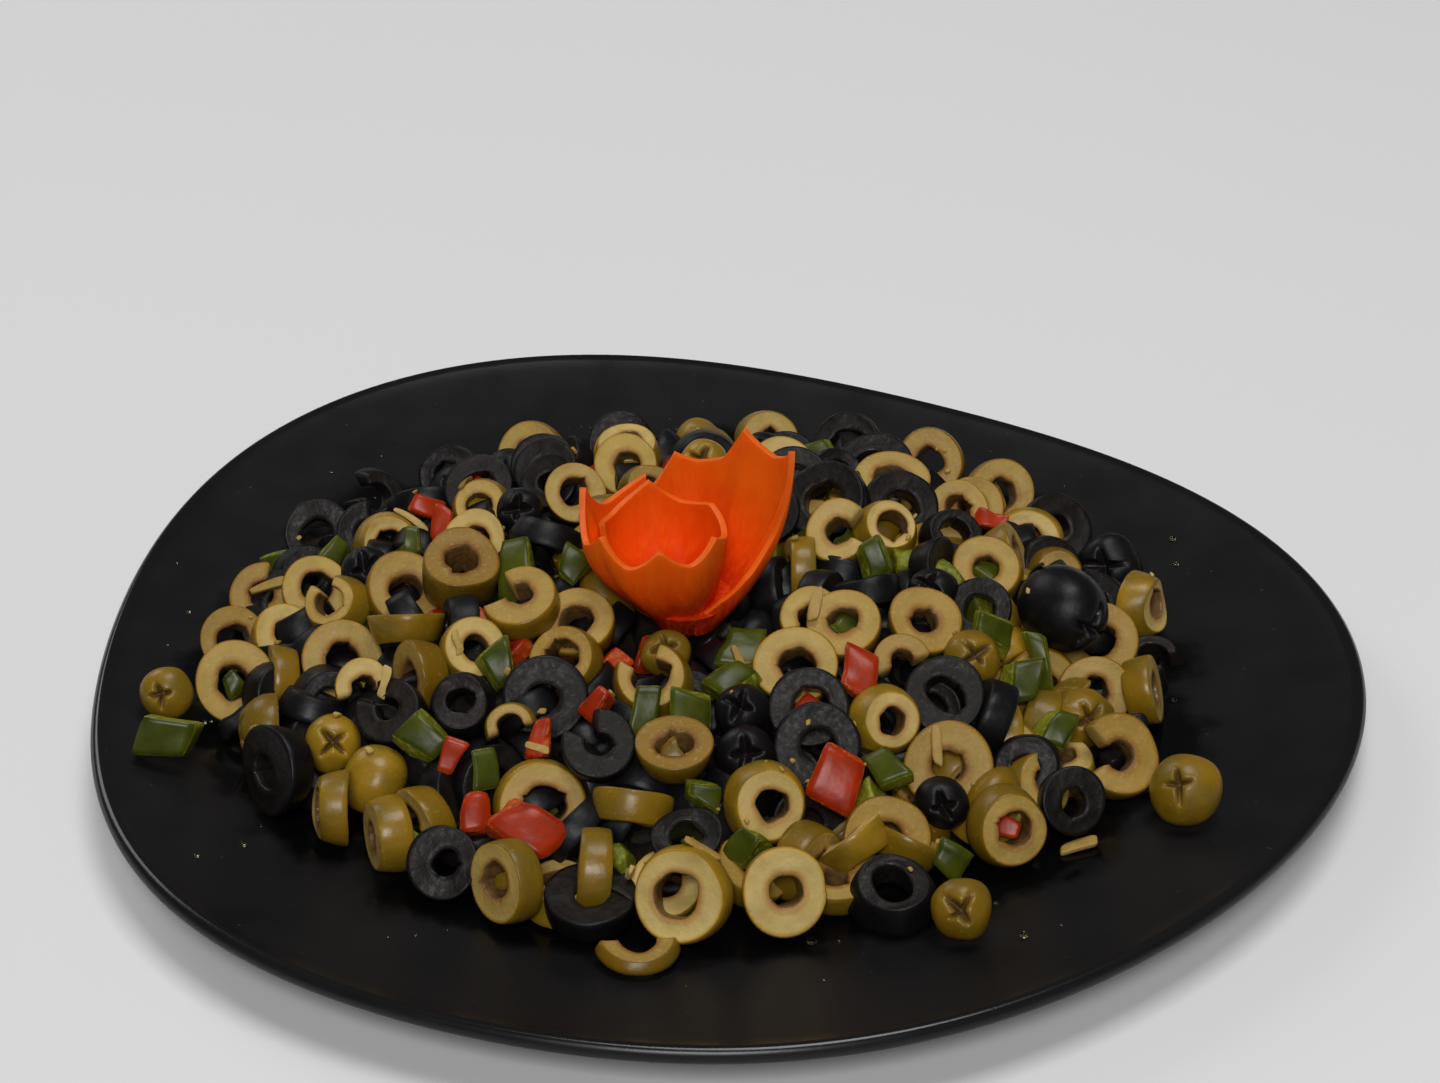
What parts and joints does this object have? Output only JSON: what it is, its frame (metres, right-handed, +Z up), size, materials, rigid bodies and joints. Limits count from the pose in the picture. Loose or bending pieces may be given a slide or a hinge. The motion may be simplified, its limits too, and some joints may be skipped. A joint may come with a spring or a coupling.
{
  "type": "plate of olive salad",
  "caption": "Pebble-shaped black stoneware plate heaped with sliced green and black olives, diced pepper and tomato, under a carved carrot flower.",
  "frame": {"origin": "on the surface the plate stands on, below the middle of the plate's bounding box", "axes": "+X along the plate's long direction towards its more pointed end, +Y towards the back of the plate as served, +Z up"},
  "size_m": [0.2996, 0.2864, 0.0706],
  "materials": {
    "plate": "matt black stoneware glaze with a soft sheen",
    "olive_salad": "moist cut olives, green and black, with red and green dice",
    "green_olive": "moist olive flesh and skin",
    "green_pepper": "moist pepper skin",
    "carrot": "cut raw carrot, slightly moist"
  },
  "bodies": {
    "root": {"plate": "plate", "salad_heap": "olive_salad", "carrot_flower": "carrot", "olive_sliver_front": "green_olive", "olive_end_front": "green_olive", "olive_end_right": "green_olive", "olive_end_left": "green_olive", "pepper_piece_left": "green_pepper"}
  },
  "joints": []
}
